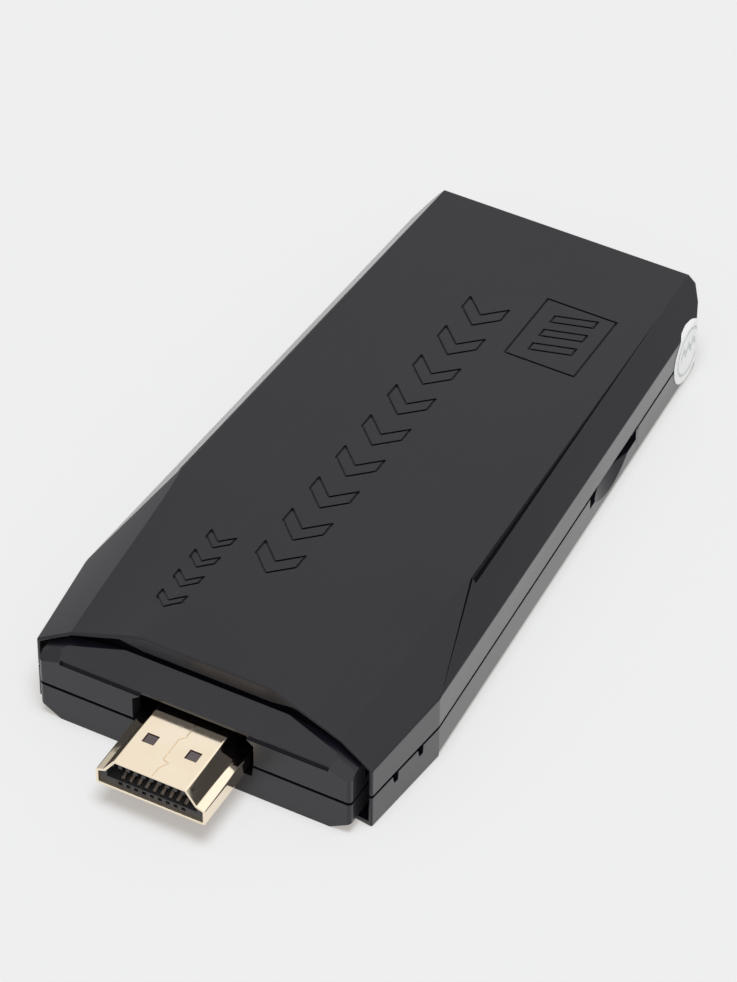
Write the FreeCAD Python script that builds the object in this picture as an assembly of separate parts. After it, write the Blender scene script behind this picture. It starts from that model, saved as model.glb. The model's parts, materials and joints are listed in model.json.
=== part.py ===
import FreeCAD, Part
import math
import os
from FreeCAD import Vector

# Plug-in streaming media player: a faceted plastic stick with an HDMI plug on its nose, a memory card
# slot in its right wall, a power inlet in its left wall and a host port in its far end.
#
# Everything is drawn in a working frame: X across the body (card slot on +X), Y back from the front
# face of the nose, Z up from the underside.  finish() moves it to the origin of the part, which is
# the middle of the footprint at the underside.

# ------------------------------------------------------------------ driving dimensions (millimetres)
BODY_LENGTH = 92.4
PLUG_REACH = 9.4
WALL = 1.4
FLOOR = 1.2
SPLIT_HEIGHT = 4.7
SPLIT_GAP = 0.44
NOSE_SPLIT_GAP = 0.45
WALL_TOP = 8.8
WALL_TOP_KINK = 9.15
WALL_TOP_FAR = 8.05

# plan of the body, right half: nose corner, kink in the side wall, two bends of the far corner
CORNER = (21.46, 2.13)
KINK = (22.89, 15.3)
FAR_SIDE = (19.58, 88.4)
FAR_BEND = (18.75, 90.35)
FAR_CHAMFER_X = 17.2
HOOD_CENTRE = (8.5, 3.5)
HOOD_KINK = (17.2, 2.67)

# roof: a plane that falls towards the far end, with a brow that drops at both front corners
ROOF_AT_NOSE = 14.15
ROOF_SLOPE = -0.030
BROW_DROP = 2.75
BROW_INNER_X = 8.5
BROW_OUTER_X = 17.2
BROW_END = 27.0
EDGE_RADIUS = 0.25
APEX = (18.82, 30.46)
FAR_CREASE = (16.75, 91.7)
GROOVE_WIDTH = 1.05
GROOVE_DEPTH = 1.1
GROOVE_LENGTH = 0.87
DIAGONAL_SIZE = 0.36
DIAGONAL_LENGTH = 0.9
LOWER_EDGE_RADIUS = 0.75
NOSE_EDGE_RADIUS = 0.15
BADGE = (4.0, 13.2, 67.5, 79.0)

# nose block inside the hood
NOSE_HALF_WIDTH = 19.95
NOSE_BACK = 6.4
NOSE_ARCH = [(8.5, 11.6), (17.0, 10.2), (19.95, 8.9)]
SHELF_FRONT_HEIGHT = 8.95
SHELF_SLOPE = 0.70
LEDGE_HEIGHT = 8.62
LEDGE_DEPTH = 0.32
LEDGE_HALF_WIDTH = 17.15
HOOD_GAP = 0.4
HOOD_GAP_BACK = 5.3
GAP_FLOOR = 0.7
GROOVE_FRONT = 3.35
CAVITY_FRONT = 6.2
MOUTH_HALF_WIDTH = 7.75
MOUTH_TOP = 8.8

# HDMI type A plug
PLUG_HALF_WIDTH = 6.95
PLUG_HALF_TOP = 4.59
PLUG_BASE = 3.6
PLUG_HEIGHT = 4.45
PLUG_SIDE = 2.17
PLUG_KNEE = (5.92, 2.55)
PLUG_SHEET = 0.3
PLUG_BEND_RADIUS = 0.28
PLUG_BACK = 6.0
CONTACT_PITCH = 1.0
HOLE_DEPTH = 0.75

# main board and the parts on it
BOARD_BOTTOM = 5.3
BOARD_THICKNESS = 1.0
BOARD_TOP = BOARD_BOTTOM + BOARD_THICKNESS
BOARD_FRONT = 6.6
BOARD_BACK = 88.5
BOARD_HALF_WIDTH = 17.4
SCREWS = [(-14.2, 12.5), (14.2, 12.5), (-12.5, 83.5), (12.5, 83.5)]
SCREW_SHANK = 0.85
SCREW_HEAD = 1.7
SCREW_LENGTH = 3.8
SCREW_HEAD_HEIGHT = 0.8
CROSS = [(0.8, 0.16), (0.16, 0.8)]
BOSS_RADIUS = 2.2
PROCESSOR = (-2.0, 45.0)
PROCESSOR_SIZE = 14.0
PROCESSOR_HEIGHT = 1.2
PAD_SIZE = 12.0
PAD_THICKNESS = 0.5
SINK_X = (-10.0, 6.0)
SINK_Y = (33.0, 57.0)
SINK_BASE = 0.8
FIN_COUNT = 7
FIN_THICKNESS = 0.7
FIN_TOP = 2.6
MEMORY_X = 11.5
MEMORY_Y = (38.0, 51.0)
MEMORY_SIZE = (9.0, 11.0, 1.0)
FLASH = (8.0, 65.0)
FLASH_SIZE = (8.0, 6.0, 1.1)
SHIELD_X = (4.0, 15.0)
SHIELD_Y = (17.0, 27.0)
SHIELD_HEIGHT = 1.6
SHIELD_SHEET = 0.2
ANTENNA_X = (-13.5, -7.5)
ANTENNA_Y = (15.2, 17.2)
ANTENNA_HEIGHT = 1.2
INDUCTOR_X = (-4.0, 0.8)
INDUCTOR_Y = 62.0
REGULATOR = (-11.0, 62.0)

# ports
HOST_CENTRE_HEIGHT = 5.8
HOST_WIDTH = 13.2
HOST_HEIGHT = 5.8
HOST_DEPTH = 14.0
HOST_SHEET = 0.3
HOST_PINS = [-3.5, -1.0, 1.0, 3.5]
INLET_CENTRE_Y = 34.0
INLET_WIDTH = 7.5
INLET_HEIGHT = 2.45
INLET_DEPTH = 5.0
INLET_SHEET = 0.25
INLET_MOUTH_X = -21.5

# card slot and socket
CARD_CENTRE_Y = 63.6
CARD_WIDTH = 11.0
CARD_LENGTH = 15.0
CARD_THICKNESS = 0.7
CARD_BASE = 3.75
TRACK_TOP = CARD_BASE + CARD_THICKNESS + 0.1
CARD_END_X = 19.7
SLIT_HALF_WIDTH = 6.75
SLIT_BOTTOM = 2.9
SCOOP_HALF_WIDTH = 5.1
SCOOP_RADIUS = 14.6
SCOOP_OFFSET_X = 12.35
SCOOP_CENTRE_HEIGHT = 9.0
SOCKET_X = (2.6, 18.4)
SOCKET_HALF_WIDTH = 7.4
SOCKET_STOP = 0.6
SOCKET_BOTTOM = 3.4

SLIDER_ARM = 5.0
SPRING_TURNS = 8
SPRING_WIRE = 0.075
SPRING_COIL = 0.26

# seal on the right wall
SEAL_CENTRE_Y = 85.9
SEAL_CENTRE_Z = 4.7
SEAL_RADIUS = 4.2
SEAL_THICKNESS = 0.06

FAR = 60.0


# ------------------------------------------------------------------ helpers
def box(x, y, z):
    """Box between pairs of limits."""
    return Part.makeBox(x[1] - x[0], y[1] - y[0], z[1] - z[0], Vector(x[0], y[0], z[0]))


def closed_face(points):
    return Part.Face(Part.makePolygon(points + [points[0]]))


def prism_z(points, z0, z1):
    face = closed_face([Vector(x, y, z0) for x, y in points])
    return face.extrude(Vector(0, 0, z1 - z0))


def prism_y(points, y0, y1):
    face = closed_face([Vector(x, y0, z) for x, z in points])
    return face.extrude(Vector(0, y1 - y0, 0))


def prism_x(points, x0, x1):
    face = closed_face([Vector(x0, y, z) for y, z in points])
    return face.extrude(Vector(x1 - x0, 0, 0))


def mirrored(shape):
    return shape.mirror(Vector(0, 0, 0), Vector(1, 0, 0))


def mirror_points(points):
    """Close a right-hand outline with its mirror image, keeping one turning direction."""
    return points + [(-x, y) for x, y in reversed(points)]


def between(a, b, t):
    return a + (b - a) * t


def union(shapes):
    return shapes[0].fuse(shapes[1:]).removeSplitter()


def cylinder(radius, height, centre, axis=Vector(0, 0, 1)):
    return Part.makeCylinder(radius, height, centre, axis)


# ------------------------------------------------------------------ outer form of the body
def plan_points():
    right = [HOOD_CENTRE, HOOD_KINK, CORNER, KINK, FAR_SIDE, FAR_BEND, (FAR_CHAMFER_X, BODY_LENGTH)]
    return mirror_points(right)


def plan_prism(inset, z0, z1):
    """Prism on the body's plan, drawn in by the inset on every side, or grown where it is negative."""
    face = closed_face([Vector(x, y, z0) for x, y in plan_points()])
    if inset:
        face = face.makeOffset2D(-inset, 2)
    return face.extrude(Vector(0, 0, z1 - z0))


def roof_height(y):
    return ROOF_AT_NOSE + ROOF_SLOPE * y


def brow_drop(x, y):
    """How far the roof's control net lies below the roof plane."""
    across = max(0.0, (abs(x) - BROW_INNER_X) / (BROW_OUTER_X - BROW_INNER_X))
    along = max(0.0, (BROW_END - y) / (BROW_END - HOOD_KINK[1]))
    return BROW_DROP * across * along


def roof_cutter(lowered=0.0):
    """Everything above the roof: one smooth sheet, flat but for the two brows, extruded upwards."""
    half = [0.0, 6.5, 8.5, 11.0, 17.2, 27.0]
    xs = [-x for x in reversed(half[1:])] + half
    ys = [-6.0, 2.7, 12.0, 20.0, 28.0, 33.0, 60.0, 100.0]
    poles = [[Vector(x, y, roof_height(y) - brow_drop(x, y) - lowered) for y in ys] for x in xs]
    sheet = Part.BSplineSurface()
    knots_x = list(range(len(xs) - 1))
    knots_y = list(range(len(ys) - 1))
    mults_x = [3] + [1] * (len(knots_x) - 2) + [3]
    mults_y = [3] + [1] * (len(knots_y) - 2) + [3]
    sheet.buildFromPolesMultsKnots(poles, mults_x, mults_y, knots_x, knots_y, False, False, 2, 2)
    return sheet.toShape().extrude(Vector(0, 0, FAR))


def corner_points():
    """Corners of the two facets at each side: hood kink, nose corner, kink, apex and far ends."""
    hood = Vector(HOOD_KINK[0], HOOD_KINK[1], roof_height(HOOD_KINK[1]) - BROW_DROP)
    corner = Vector(CORNER[0], CORNER[1], WALL_TOP)
    kink = Vector(KINK[0], KINK[1], WALL_TOP_KINK)
    apex = Vector(APEX[0], APEX[1], roof_height(APEX[1]))
    far_low = Vector(FAR_SIDE[0], FAR_SIDE[1], WALL_TOP_FAR)
    far_high = Vector(FAR_CREASE[0], FAR_CREASE[1], roof_height(FAR_CREASE[1]))
    return hood, corner, kink, apex, far_low, far_high


def facet_cutter(inner, outer, reach_u, reach_v, lowered):
    """Everything above the ruled facet between two lines, carried a little past its corners."""
    lines = []
    for v in reach_v:
        ends = [between(between(*inner, u), between(*outer, u), v) for u in reach_u]
        lines.append(Part.makeLine(*[p - Vector(0, 0, lowered) for p in ends]))
    return Part.makeRuledSurface(lines[0], lines[1]).extrude(Vector(0, 0, FAR))


def facet_cutters(lowered=0.0):
    hood, corner, kink, apex, far_low, far_high = corner_points()
    near = facet_cutter((hood, apex), (corner, kink), (-0.3, 1.3), (-0.35, 1.8), lowered)
    side = facet_cutter((apex, far_high), (kink, far_low), (-0.2, 1.15), (-0.35, 1.6), lowered)
    return [near, side, mirrored(near), mirrored(side)]


def far_cutter(lowered=0.0):
    """The slanted strip between the roof and the far wall."""
    top = roof_height(FAR_CREASE[1])
    rise = (top - WALL_TOP_FAR) / (BODY_LENGTH - FAR_CREASE[1])
    low = (BODY_LENGTH + 1, WALL_TOP_FAR - rise)
    high = (FAR_CREASE[1] - 1, top + rise)
    points = [(low[0] - lowered, low[1]), (high[0] - lowered, high[1]), (BODY_LENGTH + 9, high[1])]
    return prism_x(points, -FAR, FAR)


def roofed(shape, lowered=0.0):
    return shape.cut([roof_cutter(lowered), far_cutter(lowered)] + facet_cutters(lowered))


def tapered_groove(start, end, width, depth, end_scale):
    """Sharp-edged shadow groove outside a crease, wide at its start and fading towards its end."""
    def section(point, size):
        corners = [
            point + Vector(0.02, 0, 0.3 * size),
            point + Vector(-0.12 * size, 0, -depth * size),
            point + Vector(width * size, 0, -0.55 * width * size),
            point + Vector(width * size, 0, 0.9 * width * size),
        ]
        return Part.makePolygon(corners + [corners[0]])
    return Part.makeLoft([section(start, 1.0), section(end, end_scale)], True, True)


def crease_grooves():
    """Shadow grooves that start at the apex: one along the long crease, a finer one to the kink."""
    hood, corner, kink, apex, far_low, far_high = corner_points()
    long_end = between(apex, far_high, GROOVE_LENGTH)
    long_groove = tapered_groove(apex, long_end, GROOVE_WIDTH, GROOVE_DEPTH, 0.06)
    diagonal_end = between(apex, kink, DIAGONAL_LENGTH)
    width, depth = DIAGONAL_SIZE * GROOVE_WIDTH, DIAGONAL_SIZE * GROOVE_DEPTH
    diagonal = tapered_groove(apex, diagonal_end, width, depth, 0.3)
    return [long_groove, diagonal, mirrored(long_groove), mirrored(diagonal)]


# ------------------------------------------------------------------ nose and hood
def arch_profile(grow, bottom):
    """Front outline of the nose above a height, grown outwards by an even gap."""
    (x0, z0), (x1, z1), (x2, z2) = NOSE_ARCH
    right = [(x2 + grow, bottom), (x2 + grow, z2 + 0.5 * grow), (x1 + 0.4 * grow, z1 + grow), (x0, z0 + grow)]
    return mirror_points(right)


def nose_block(z_low, z_high):
    upper = prism_y(arch_profile(0, SPLIT_HEIGHT), 0, NOSE_BACK)
    lower_points = mirror_points([(17.3, 0.0), (NOSE_HALF_WIDTH, 1.6), (NOSE_HALF_WIDTH, SPLIT_HEIGHT)])
    lower = prism_y(lower_points, 0, NOSE_BACK)
    block = union([upper, lower])
    upright = [e for e in block.Edges if is_front_upright(e)]
    block = block.makeFillet(0.5, upright)
    shelf = prism_x([(-1, shelf_height(-1)), (9, shelf_height(9)), (-1, shelf_height(9))], -FAR, FAR)
    ledge = box((-LEDGE_HALF_WIDTH, LEDGE_HALF_WIDTH), (-1, LEDGE_DEPTH), (LEDGE_HEIGHT, FAR))
    block = block.cut([shelf, ledge, shoulder_cutter(), mirrored(shoulder_cutter())])
    return block.common(box((-FAR, FAR), (-1, 9), (z_low, z_high)))


def is_front_upright(edge):
    a, b = edge.Vertexes[0].Point, edge.Vertexes[-1].Point
    at_end = abs(abs(a.x) - NOSE_HALF_WIDTH) < 0.01 and abs(abs(b.x) - NOSE_HALF_WIDTH) < 0.01
    return at_end and abs(a.y) < 0.01 and abs(b.y) < 0.01


def shelf_height(y):
    return SHELF_FRONT_HEIGHT + SHELF_SLOPE * y


def shoulder_cutter():
    """Small facet that takes the nose's upper outer corner down."""
    def corner(x, y):
        return Vector(x, y, SHELF_FRONT_HEIGHT - 0.33 * (x - 17.2) + 0.8 * y)
    lines = [Part.makeLine(corner(x, -2), corner(x, 8)) for x in (12, 24)]
    return Part.makeRuledSurface(lines[0], lines[1]).extrude(Vector(0, 0, FAR))


def hood_mouth():
    """Deep opening of the hood round the nose; only the middle band of the hood comes down to it."""
    right = [(21.05, GAP_FLOOR), (21.05, 8.65), (20.6, 8.95), (17.2, 10.95), (11.2, 12.75)]
    right.append((8.3, NOSE_ARCH[0][1] + HOOD_GAP))
    return prism_y(mirror_points(right), -1, HOOD_GAP_BACK)


def nose_groove():
    """Deep groove behind the top of the nose block, under the hood."""
    above = prism_y(arch_profile(HOOD_GAP, 6.0), GROOVE_FRONT, HOOD_GAP_BACK)
    return above.cut(prism_y(arch_profile(-1.2, -2.0), 0, CAVITY_FRONT))


def plug_mouth():
    """Opening in the nose round the plug."""
    shoulder = MOUTH_TOP - 0.9
    right = [(7.5, PLUG_BASE - 0.55), (MOUTH_HALF_WIDTH, 5.3), (MOUTH_HALF_WIDTH, shoulder), (6.6, MOUTH_TOP)]
    return prism_y(mirror_points(right), -1, CAVITY_FRONT + 0.5)


def nose_cavity():
    points = mirror_points([(18.2, FLOOR + 0.3), (18.2, 7.5)])
    return prism_y(points, 1.7, CAVITY_FRONT + 0.5)


# ------------------------------------------------------------------ openings shared by both shells
def host_opening():
    half_x = HOST_WIDTH / 2 + 0.5
    half_z = HOST_HEIGHT / 2 + 0.5
    z = (HOST_CENTRE_HEIGHT - half_z, HOST_CENTRE_HEIGHT + half_z)
    return box((-half_x, half_x), (BODY_LENGTH - 4, BODY_LENGTH + 2), z)


def inlet_opening():
    half_y = INLET_WIDTH / 2 + 0.45
    y = (INLET_CENTRE_Y - half_y, INLET_CENTRE_Y + half_y)
    z = (BOARD_BOTTOM - INLET_HEIGHT - 0.4, BOARD_BOTTOM + 0.4)
    block = box((-FAR, -17), y, z)
    return block.makeFillet(0.8, [e for e in block.Edges if abs(e.tangentAt(e.FirstParameter).x) > 0.9])


def card_opening():
    y = (CARD_CENTRE_Y - SLIT_HALF_WIDTH, CARD_CENTRE_Y + SLIT_HALF_WIDTH)
    return box((17.5, FAR), y, (SLIT_BOTTOM, SPLIT_HEIGHT + 0.2))


# ------------------------------------------------------------------ upper shell
def chevron(x, y, half, rise, bar):
    """Closed outline of a chevron whose tip is at (x, y) and whose arms have this height."""
    low = [(x - half, y + rise), (x, y), (x + half, y + rise)]
    return low + [(x + half, y + rise + bar), (x, y + bar), (x - half, y + rise + bar)]


def slanted_bar(x, y, width, rise, bar):
    return [(x, y), (x + width, y + rise), (x + width, y + rise + bar), (x, y + bar)]


def ornament_outlines():
    """Plan outlines of the engraving: a row of large chevrons, a row of small ones and a badge."""
    outlines = [chevron(-1.7, 19.6 + 6.3 * i, 2.6, 2.5, 2.2) for i in range(9)]
    outlines += [chevron(-9.0, 9.2 + 3.7 * i, 1.6, 1.5, 1.2) for i in range(4)]
    left, right, near, far = BADGE
    outlines.append([(left, near), (right, near), (right, far), (left, far)])
    outlines += [slanted_bar(6.2, 69.4 + 2.9 * i, 5.0, 1.5, 1.3) for i in range(3)]
    return outlines


def stroke(start, end, width):
    a = Vector(start[0], start[1], 8)
    b = Vector(end[0], end[1], 8)
    along = (b - a).normalize()
    side = Vector(-along.y, along.x, 0) * (width / 2)
    bar = closed_face([a + side, a - side, b - side, b + side]).extrude(Vector(0, 0, 8))
    return [bar, cylinder(width / 2, 8, a)]


def ornament(width=0.3, depth=0.3):
    bars = []
    for outline in ornament_outlines():
        for start, end in zip(outline, outline[1:] + outline[:1]):
            bars += stroke(start, end, width)
    return union(bars).common(roof_cutter(depth))


def top_shell():
    low = SPLIT_HEIGHT + SPLIT_GAP / 2
    outer = roofed(plan_prism(0, low, 18)).removeSplitter()
    outer = outer.makeFillet(EDGE_RADIUS, [e for e in outer.Edges if e.BoundBox.ZMax > low + 0.1])
    outer = outer.cut(prism_y(arch_profile(HOOD_GAP, -1), -1, HOOD_GAP_BACK))
    outer = outer.cut([hood_mouth()] + crease_grooves())
    outer = outer.fuse(nose_block(SPLIT_HEIGHT + NOSE_SPLIT_GAP / 2, 18).cut(nose_groove()))
    cavity = roofed(plan_prism(WALL, low - 1, 18), 1.55)
    cavity = cavity.common(box((-FAR, FAR), (CAVITY_FRONT, FAR * 2), (0, 18)))
    rebate = plan_prism(0.65, low - 1, SPLIT_HEIGHT + 0.9)
    rebate = rebate.common(box((-FAR, FAR), (CAVITY_FRONT + 0.6, FAR * 2), (0, 18)))
    cuts = [cavity, rebate, nose_cavity(), plug_mouth(), host_opening(), inlet_opening(), ornament()]
    shell = outer.cut(cuts)
    posts = [board_post(x, y) for x, y in SCREWS]
    return shell.fuse(posts).removeSplitter()


def board_post(x, y):
    """Hollow post from the roof down to just above the head of a board screw."""
    post = cylinder(BOSS_RADIUS, 20, Vector(x, y, BOARD_TOP))
    post = post.cut(cylinder(SCREW_HEAD + 0.1, 1.2, Vector(x, y, BOARD_TOP)))
    return roofed(post, 1.0)


# ------------------------------------------------------------------ lower shell
def lower_prism(radius):
    """The lower half as one block, with this radius round its underside."""
    prism = plan_prism(0, 0, SPLIT_HEIGHT - SPLIT_GAP / 2)
    upright = [e for e in prism.Edges if e.BoundBox.ZLength > 1 and abs(e.Vertexes[0].X) > BROW_OUTER_X - 1]
    prism = prism.makeFillet(EDGE_RADIUS, upright)
    return prism.makeFillet(radius, [e for e in prism.Edges if e.BoundBox.ZMax < 0.01])


def lower_body():
    nose_end = box((-FAR, FAR), (-1, KINK[1]), (-1, 18))
    front = lower_prism(NOSE_EDGE_RADIUS).common(nose_end)
    back = lower_prism(LOWER_EDGE_RADIUS).cut(nose_end)
    prism = front.fuse(back).removeSplitter()
    prism = prism.cut([prism_y(arch_profile(HOOD_GAP, GAP_FLOOR), -1, HOOD_GAP_BACK), hood_mouth()])
    return prism.fuse(nose_block(-1, SPLIT_HEIGHT - NOSE_SPLIT_GAP / 2))


def side_wall_x(y):
    """Outside of the right wall behind the kink."""
    return KINK[0] + (FAR_SIDE[0] - KINK[0]) * (y - KINK[1]) / (FAR_SIDE[1] - KINK[1])


def card_scoop():
    centre = Vector(side_wall_x(CARD_CENTRE_Y) + SCOOP_OFFSET_X, CARD_CENTRE_Y, SCOOP_CENTRE_HEIGHT)
    ball = Part.makeSphere(SCOOP_RADIUS, centre)
    y = (CARD_CENTRE_Y - SCOOP_HALF_WIDTH, CARD_CENTRE_Y + SCOOP_HALF_WIDTH)
    return ball.common(box((0, FAR), y, (1.0, SPLIT_HEIGHT)))


def snap_windows():
    """Leaning, tapered relief windows of the snap hooks, just under the split on both cheeks."""
    windows = []
    for y in (6.7, 11.6):
        points = [(y - 0.6, SPLIT_HEIGHT), (y + 0.6, SPLIT_HEIGHT), (y + 0.5, SPLIT_HEIGHT - 1.4)]
        points.append((y - 0.25, SPLIT_HEIGHT - 1.4))
        window = prism_x(points, 20.9, FAR)
        windows += [window, mirrored(window)]
    return windows


def board_boss(x, y):
    boss = cylinder(BOSS_RADIUS, BOARD_BOTTOM - FLOOR + 0.2, Vector(x, y, FLOOR - 0.2))
    return boss.cut(cylinder(SCREW_SHANK, 6, Vector(x, y, FLOOR + 0.6)))


def bottom_shell():
    body = lower_body()
    top = SPLIT_HEIGHT - SPLIT_GAP / 2
    front = box((-FAR, FAR), (CAVITY_FRONT, FAR * 2), (-1, 18))
    cavity = plan_prism(WALL, FLOOR, 18).common(front)
    lip = plan_prism(0.75, top - 0.3, SPLIT_HEIGHT + 0.9).cut(plan_prism(WALL, 0, 18))
    lip = lip.common(box((-FAR, FAR), (CAVITY_FRONT + 0.6, FAR * 2), (-1, 18)))
    y = CARD_CENTRE_Y
    pad = box((SOCKET_X[1] + 0.15, 20.4), (y - 7.6, y + 7.6), (FLOOR - 0.2, SPLIT_HEIGHT - 0.4))
    cuts = [cavity, nose_cavity(), plug_mouth()]
    shell = body.cut(cuts).fuse([lip, pad] + [board_boss(x, y) for x, y in SCREWS])
    openings = [host_opening(), inlet_opening(), card_opening(), card_scoop()] + snap_windows()
    return shell.cut(openings).removeSplitter()


# ------------------------------------------------------------------ plug
def plug_outline(inset, y):
    """Closed wire of the plug's section: upright sides, sloping shoulders, steep flanks, narrow top."""
    low = PLUG_BASE + inset
    side = (PLUG_HALF_WIDTH - inset, PLUG_BASE + PLUG_SIDE - 0.70 * inset)
    knee = (PLUG_KNEE[0] - 0.64 * inset, PLUG_BASE + PLUG_KNEE[1] - 0.83 * inset)
    top = (PLUG_HALF_TOP - 0.52 * inset, PLUG_BASE + PLUG_HEIGHT - inset)
    right = [(side[0], low), side, knee, top]
    points = [Vector(x, y, z) for x, z in mirror_points(right)]
    return Part.makePolygon(points + [points[0]])


def plug_solid(inset, y0, y1):
    return Part.Face(plug_outline(inset, y0)).extrude(Vector(0, y1 - y0, 0))


def seam_groove():
    """Hairline jigsaw seam in the plug's top, where the folded sheet meets."""
    top = PLUG_BASE + PLUG_HEIGHT
    path = [(0.6, 3.0), (0.6, -2.4), (0.05, -3.0), (0.05, -6.5), (0.85, -6.75), (0.3, -7.8)]
    path.append((0.25, -PLUG_REACH))
    bars = []
    for (x0, y0), (x1, y1) in zip(path, path[1:]):
        a = Vector(x0, y0, top - 0.12)
        b = Vector(x1, y1, top - 0.12)
        along = (b - a).normalize()
        side = Vector(-along.y, along.x, 0) * 0.05
        bars.append(closed_face([a + side, a - side, b - side, b + side]).extrude(Vector(0, 0, 1)))
        bars.append(cylinder(0.05, 1, b))
    return union(bars)


def hdmi_shell():
    shell = plug_solid(0, -PLUG_REACH, PLUG_BACK)
    lengthwise = [e for e in shell.Edges if abs(e.tangentAt(e.FirstParameter).y) > 0.99]
    shell = shell.makeFillet(PLUG_BEND_RADIUS, lengthwise)
    shell = shell.cut(plug_solid(PLUG_SHEET, -PLUG_REACH - 1, PLUG_BACK + 1))
    top = PLUG_BASE + PLUG_HEIGHT
    holes = [box((x - 0.75, x + 0.75), (-5.25, -3.75), (top - 1, top + 1)) for x in (-2.7, 2.7)]
    return shell.cut(holes + [seam_groove()])


def contact_columns(count):
    start = -CONTACT_PITCH * (count - 1) / 2
    return [start + CONTACT_PITCH * i for i in range(count)]


def hdmi_slot():
    middle = BOARD_BOTTOM + BOARD_THICKNESS / 2
    return box((-5.7, 5.7), (-PLUG_REACH - 1, -1.2), (middle - 0.95, middle + 0.95))


def hdmi_insulator():
    """Resin core: a slot for the mating tongue, open channels above it, and channels below it that
    end in a row of small square holes in the front face."""
    body = plug_solid(PLUG_SHEET + 0.02, -PLUG_REACH + 0.35, PLUG_BACK - 0.4)
    cuts = [hdmi_slot()]
    middle = BOARD_BOTTOM + BOARD_THICKNESS / 2
    for x in contact_columns(10):
        way = (-PLUG_REACH - 1, PLUG_BACK + 1)
        cuts.append(box((x - 0.28, x + 0.28), way, (middle + 0.9, middle + 1.55)))
    for x in contact_columns(9):
        way = (-PLUG_REACH + HOLE_DEPTH, PLUG_BACK + 1)
        cuts.append(box((x - 0.28, x + 0.28), way, (middle - 1.55, middle - 0.9)))
        hole = (-PLUG_REACH - 1, -PLUG_REACH + HOLE_DEPTH + 0.1)
        cuts.append(box((x - 0.26, x + 0.26), hole, (middle - 1.6, middle - 1.15)))
    return body.cut(cuts)


def hdmi_contacts(count, upper):
    """One row of spring contacts: straight tails, a shallow bow into the slot and a turned-up tip."""
    middle = BOARD_BOTTOM + BOARD_THICKNESS / 2
    sign = 1 if upper else -1
    tail = BOARD_THICKNESS / 2
    heights = [(PLUG_BACK + 1.7, tail), (PLUG_BACK + 0.9, tail), (PLUG_BACK - 0.6, 1.05), (-1.0, 1.05),
               (-5.5, 0.72), (-7.4, 0.6), (-8.6, 0.95)]
    thickness = 0.2
    pins = []
    for x in contact_columns(count):
        inner = [(y, middle + sign * h) for y, h in heights]
        outer = [(y, middle + sign * (h + thickness)) for y, h in reversed(heights)]
        pins.append(prism_x(inner + outer, x - 0.2, x + 0.2))
    return Part.makeCompound(pins)


# ------------------------------------------------------------------ main board
def main_board():
    z = (BOARD_BOTTOM, BOARD_TOP)
    board = box((-BOARD_HALF_WIDTH, BOARD_HALF_WIDTH), (BOARD_FRONT + 1.6, BOARD_BACK), z)
    board = board.makeFillet(1.0, [e for e in board.Edges if abs(e.tangentAt(0).z) > 0.9])
    tongue = box((-5.6, 5.6), (BOARD_FRONT - 0.4, BOARD_FRONT + 3), z)
    notch = box((-HOST_WIDTH / 2 - 0.3, HOST_WIDTH / 2 + 0.3), (77.4, BOARD_BACK + 1), z)
    holes = [cylinder(SCREW_SHANK + 0.1, 3, Vector(x, y, BOARD_BOTTOM - 1)) for x, y in SCREWS]
    vias = []
    for i in range(9):
        vias.append(cylinder(0.3, 3, Vector(-15.6 + 0.05 * i, 20 + 6.1 * i, BOARD_BOTTOM - 1)))
    return board.fuse(tongue).cut([notch] + holes + vias).removeSplitter()


def board_screws():
    screws = []
    for x, y in SCREWS:
        shank = cylinder(SCREW_SHANK - 0.02, SCREW_LENGTH, Vector(x, y, BOARD_TOP - SCREW_LENGTH))
        head = cylinder(SCREW_HEAD, SCREW_HEAD_HEIGHT, Vector(x, y, BOARD_TOP))
        head = head.makeFillet(0.25, [e for e in head.Edges if e.BoundBox.ZMin > BOARD_TOP + 0.7])
        recess = [box((x - a, x + a), (y - b, y + b), (BOARD_TOP + 0.35, BOARD_TOP + 2)) for a, b in CROSS]
        screws.append(shank.fuse(head).cut(recess))
    return Part.makeCompound(screws)


def chip(x, y, z0, height, size_x, size_y):
    """Moulded chip package with chamfered upper rim and a round orientation dimple."""
    body = box((x - size_x / 2, x + size_x / 2), (y - size_y / 2, y + size_y / 2), (z0, z0 + height))
    rim = [e for e in body.Edges if e.BoundBox.ZMin > z0 + height - 0.01]
    body = body.makeChamfer(0.12, rim)
    dimple = cylinder(0.35, 1, Vector(x - size_x / 2 + 0.9, y - size_y / 2 + 0.9, z0 + height - 0.06))
    return body.cut(dimple)


def memory_chip(y):
    return chip(MEMORY_X, y, BOARD_TOP, MEMORY_SIZE[2], MEMORY_SIZE[0], MEMORY_SIZE[1])


def thermal_pad():
    x, y = PROCESSOR
    half = PAD_SIZE / 2
    low = BOARD_TOP + PROCESSOR_HEIGHT
    return box((x - half, x + half), (y - half, y + half), (low, low + PAD_THICKNESS))


def heat_sink():
    """Extruded sink: a base on the thermal pad with a row of lengthwise fins."""
    low = BOARD_TOP + PROCESSOR_HEIGHT + PAD_THICKNESS
    parts = [box(SINK_X, SINK_Y, (low, low + SINK_BASE))]
    pitch = (SINK_X[1] - SINK_X[0] - FIN_THICKNESS) / (FIN_COUNT - 1)
    for i in range(FIN_COUNT):
        x = SINK_X[0] + i * pitch
        parts.append(box((x, x + FIN_THICKNESS), SINK_Y, (low + SINK_BASE - 0.1, low + FIN_TOP)))
    return union(parts)


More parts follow.
